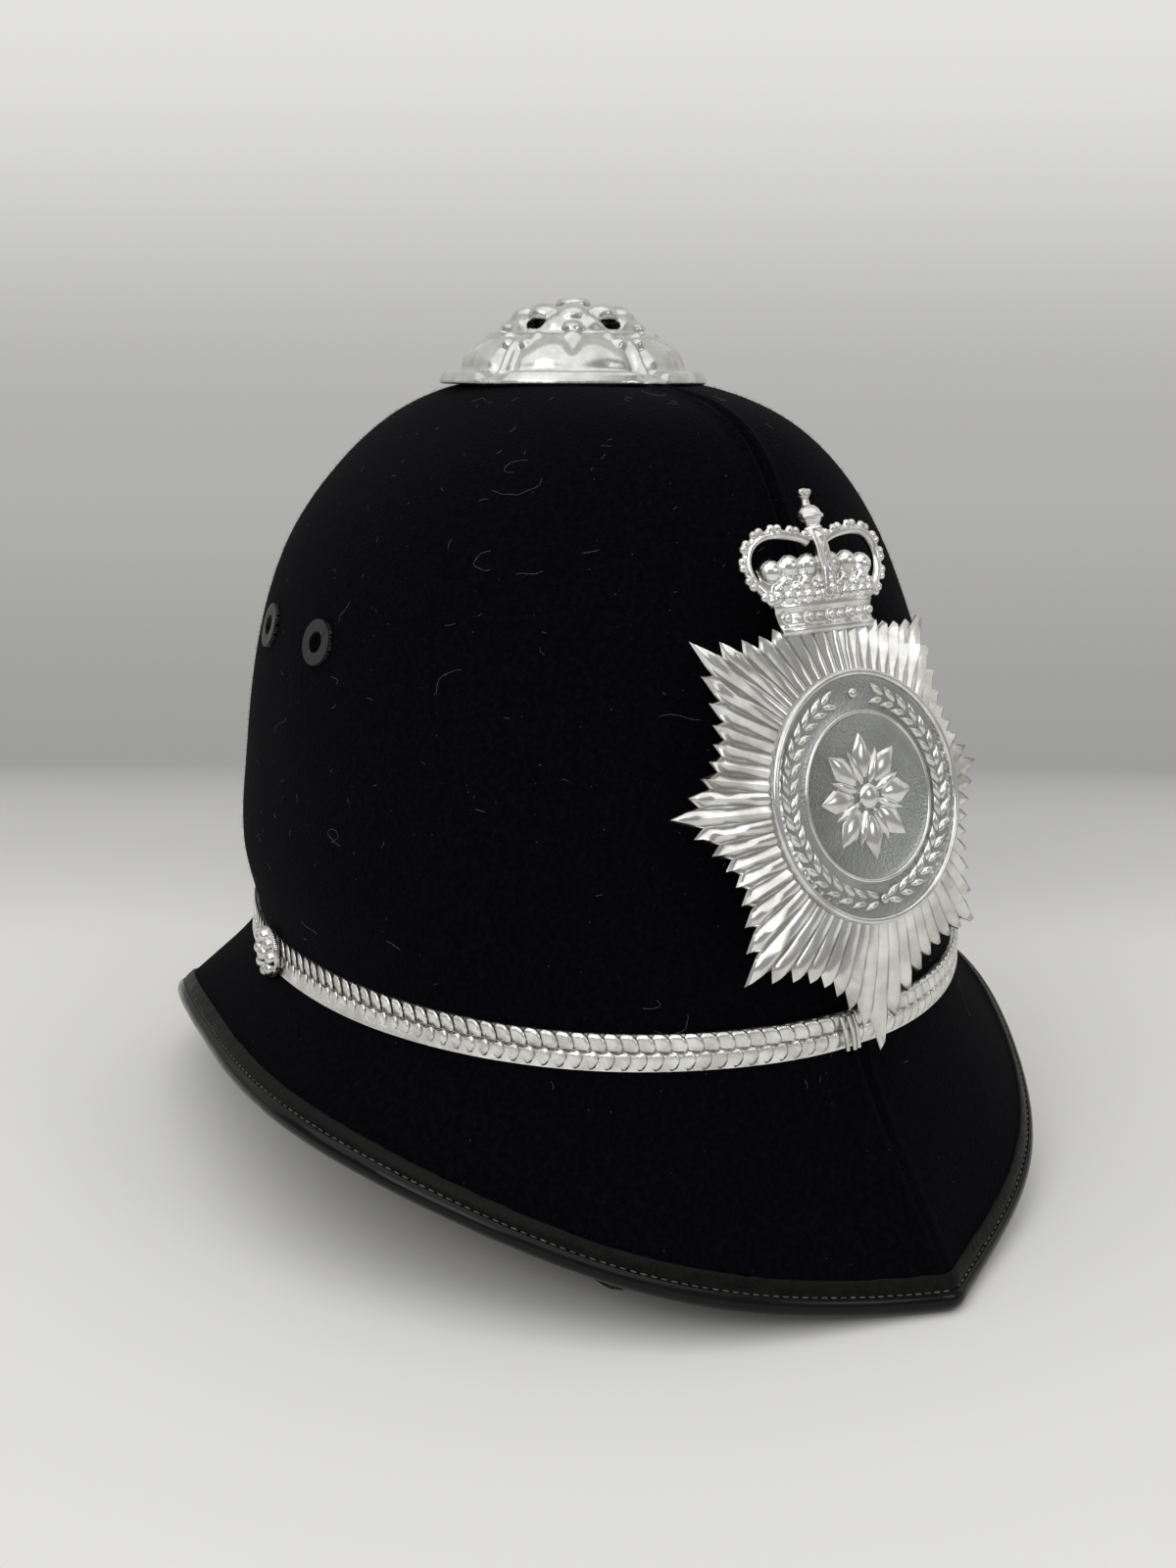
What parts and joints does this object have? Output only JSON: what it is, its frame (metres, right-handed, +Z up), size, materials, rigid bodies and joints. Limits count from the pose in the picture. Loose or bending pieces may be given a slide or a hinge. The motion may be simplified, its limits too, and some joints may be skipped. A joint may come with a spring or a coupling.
{
  "type": "custodian police helmet",
  "caption": "Custodian police helmet: cloth-covered shell with bound brim, bright band, rayed star plate, rose vent, lining and two-part chin strap.",
  "frame": {"origin": "on the table under the middle of the helmet's outline", "axes": "+Z up, the front towards -Y, the wearer's left towards +X"},
  "size_m": [0.234, 0.2929, 0.2325],
  "materials": {
    "navy_cloth": "napped wool cloth",
    "black_cloth": "plain lining cloth",
    "leathercloth": "grained, satin",
    "black_leather": "grained, satin",
    "shell_board": "pressed board",
    "cork": "cork",
    "foam_pad": "padded cloth",
    "bright_plate": "bright plated, worn",
    "inner_steel": "plain",
    "blackened_metal": "black"
  },
  "bodies": {
    "helmet": {"shell": "shell_board", "cloth_cover_left": "navy_cloth", "cloth_cover_right": "navy_cloth", "crown_lining": "black_cloth", "brim_lining": "leathercloth", "binding_front": "black_leather", "binding_rear": "black_leather", "helmet_band": "bright_plate", "band_clip": "bright_plate", "star_plate": "bright_plate", "badge_medallion": "bright_plate", "crown_emblem": "bright_plate", "badge_posts": "inner_steel", "badge_washers": "inner_steel", "badge_nuts": "inner_steel", "vent_eyelets": "blackened_metal", "eyelet_washers": "inner_steel", "side_rosette_left": "bright_plate", "side_rosette_right": "bright_plate", "rosette_washers": "inner_steel", "rosette_nuts": "inner_steel", "strap_tab_left": "inner_steel", "strap_tab_right": "inner_steel", "strap_rivets": "inner_steel", "top_rose": "bright_plate", "rose_button": "bright_plate", "rose_stud": "inner_steel", "vent_collar": "inner_steel", "vent_bridge": "inner_steel", "wing_nut": "inner_steel", "sweatband": "black_leather", "sweatband_spacers": "cork", "crown_pad": "foam_pad"},
    "long_strap": {"strap_long": "black_leather"},
    "short_strap": {"strap_short": "black_leather"},
    "buckle": {"buckle_frame": "inner_steel"},
    "prong": {"buckle_prong": "inner_steel"},
    "keeper": {"strap_keeper": "black_leather"}
  },
  "joints": [
    {"name": "long_strap_swing", "type": "hinge", "parent": "helmet", "child": "long_strap", "pos_m": [-0.0841, 0.01592, 0.04], "axis": [0.9891, -0.1471, 0], "range_deg": [0, 100]},
    {"name": "short_strap_swing", "type": "hinge", "parent": "helmet", "child": "short_strap", "pos_m": [0.0841, 0.01592, 0.04], "axis": [0.9891, 0.1471, 0], "range_deg": [0, 100]},
    {"name": "buckle_turn", "type": "hinge", "parent": "short_strap", "child": "buckle", "pos_m": [0.07751, -0.06613, 0.01329], "axis": [0.0507, 0.3015, -0.9521], "range_deg": [-40, 40]},
    {"name": "prong_lift", "type": "hinge", "parent": "buckle", "child": "prong", "pos_m": [0.07751, -0.06613, 0.01329], "axis": [-0.0507, -0.3015, 0.9521], "range_deg": [0, 90]},
    {"name": "keeper_slide", "type": "slide", "parent": "short_strap", "child": "keeper", "axis": [0.1578, 0.939, 0.3057], "range_m": [0, 0.015]}
  ]
}
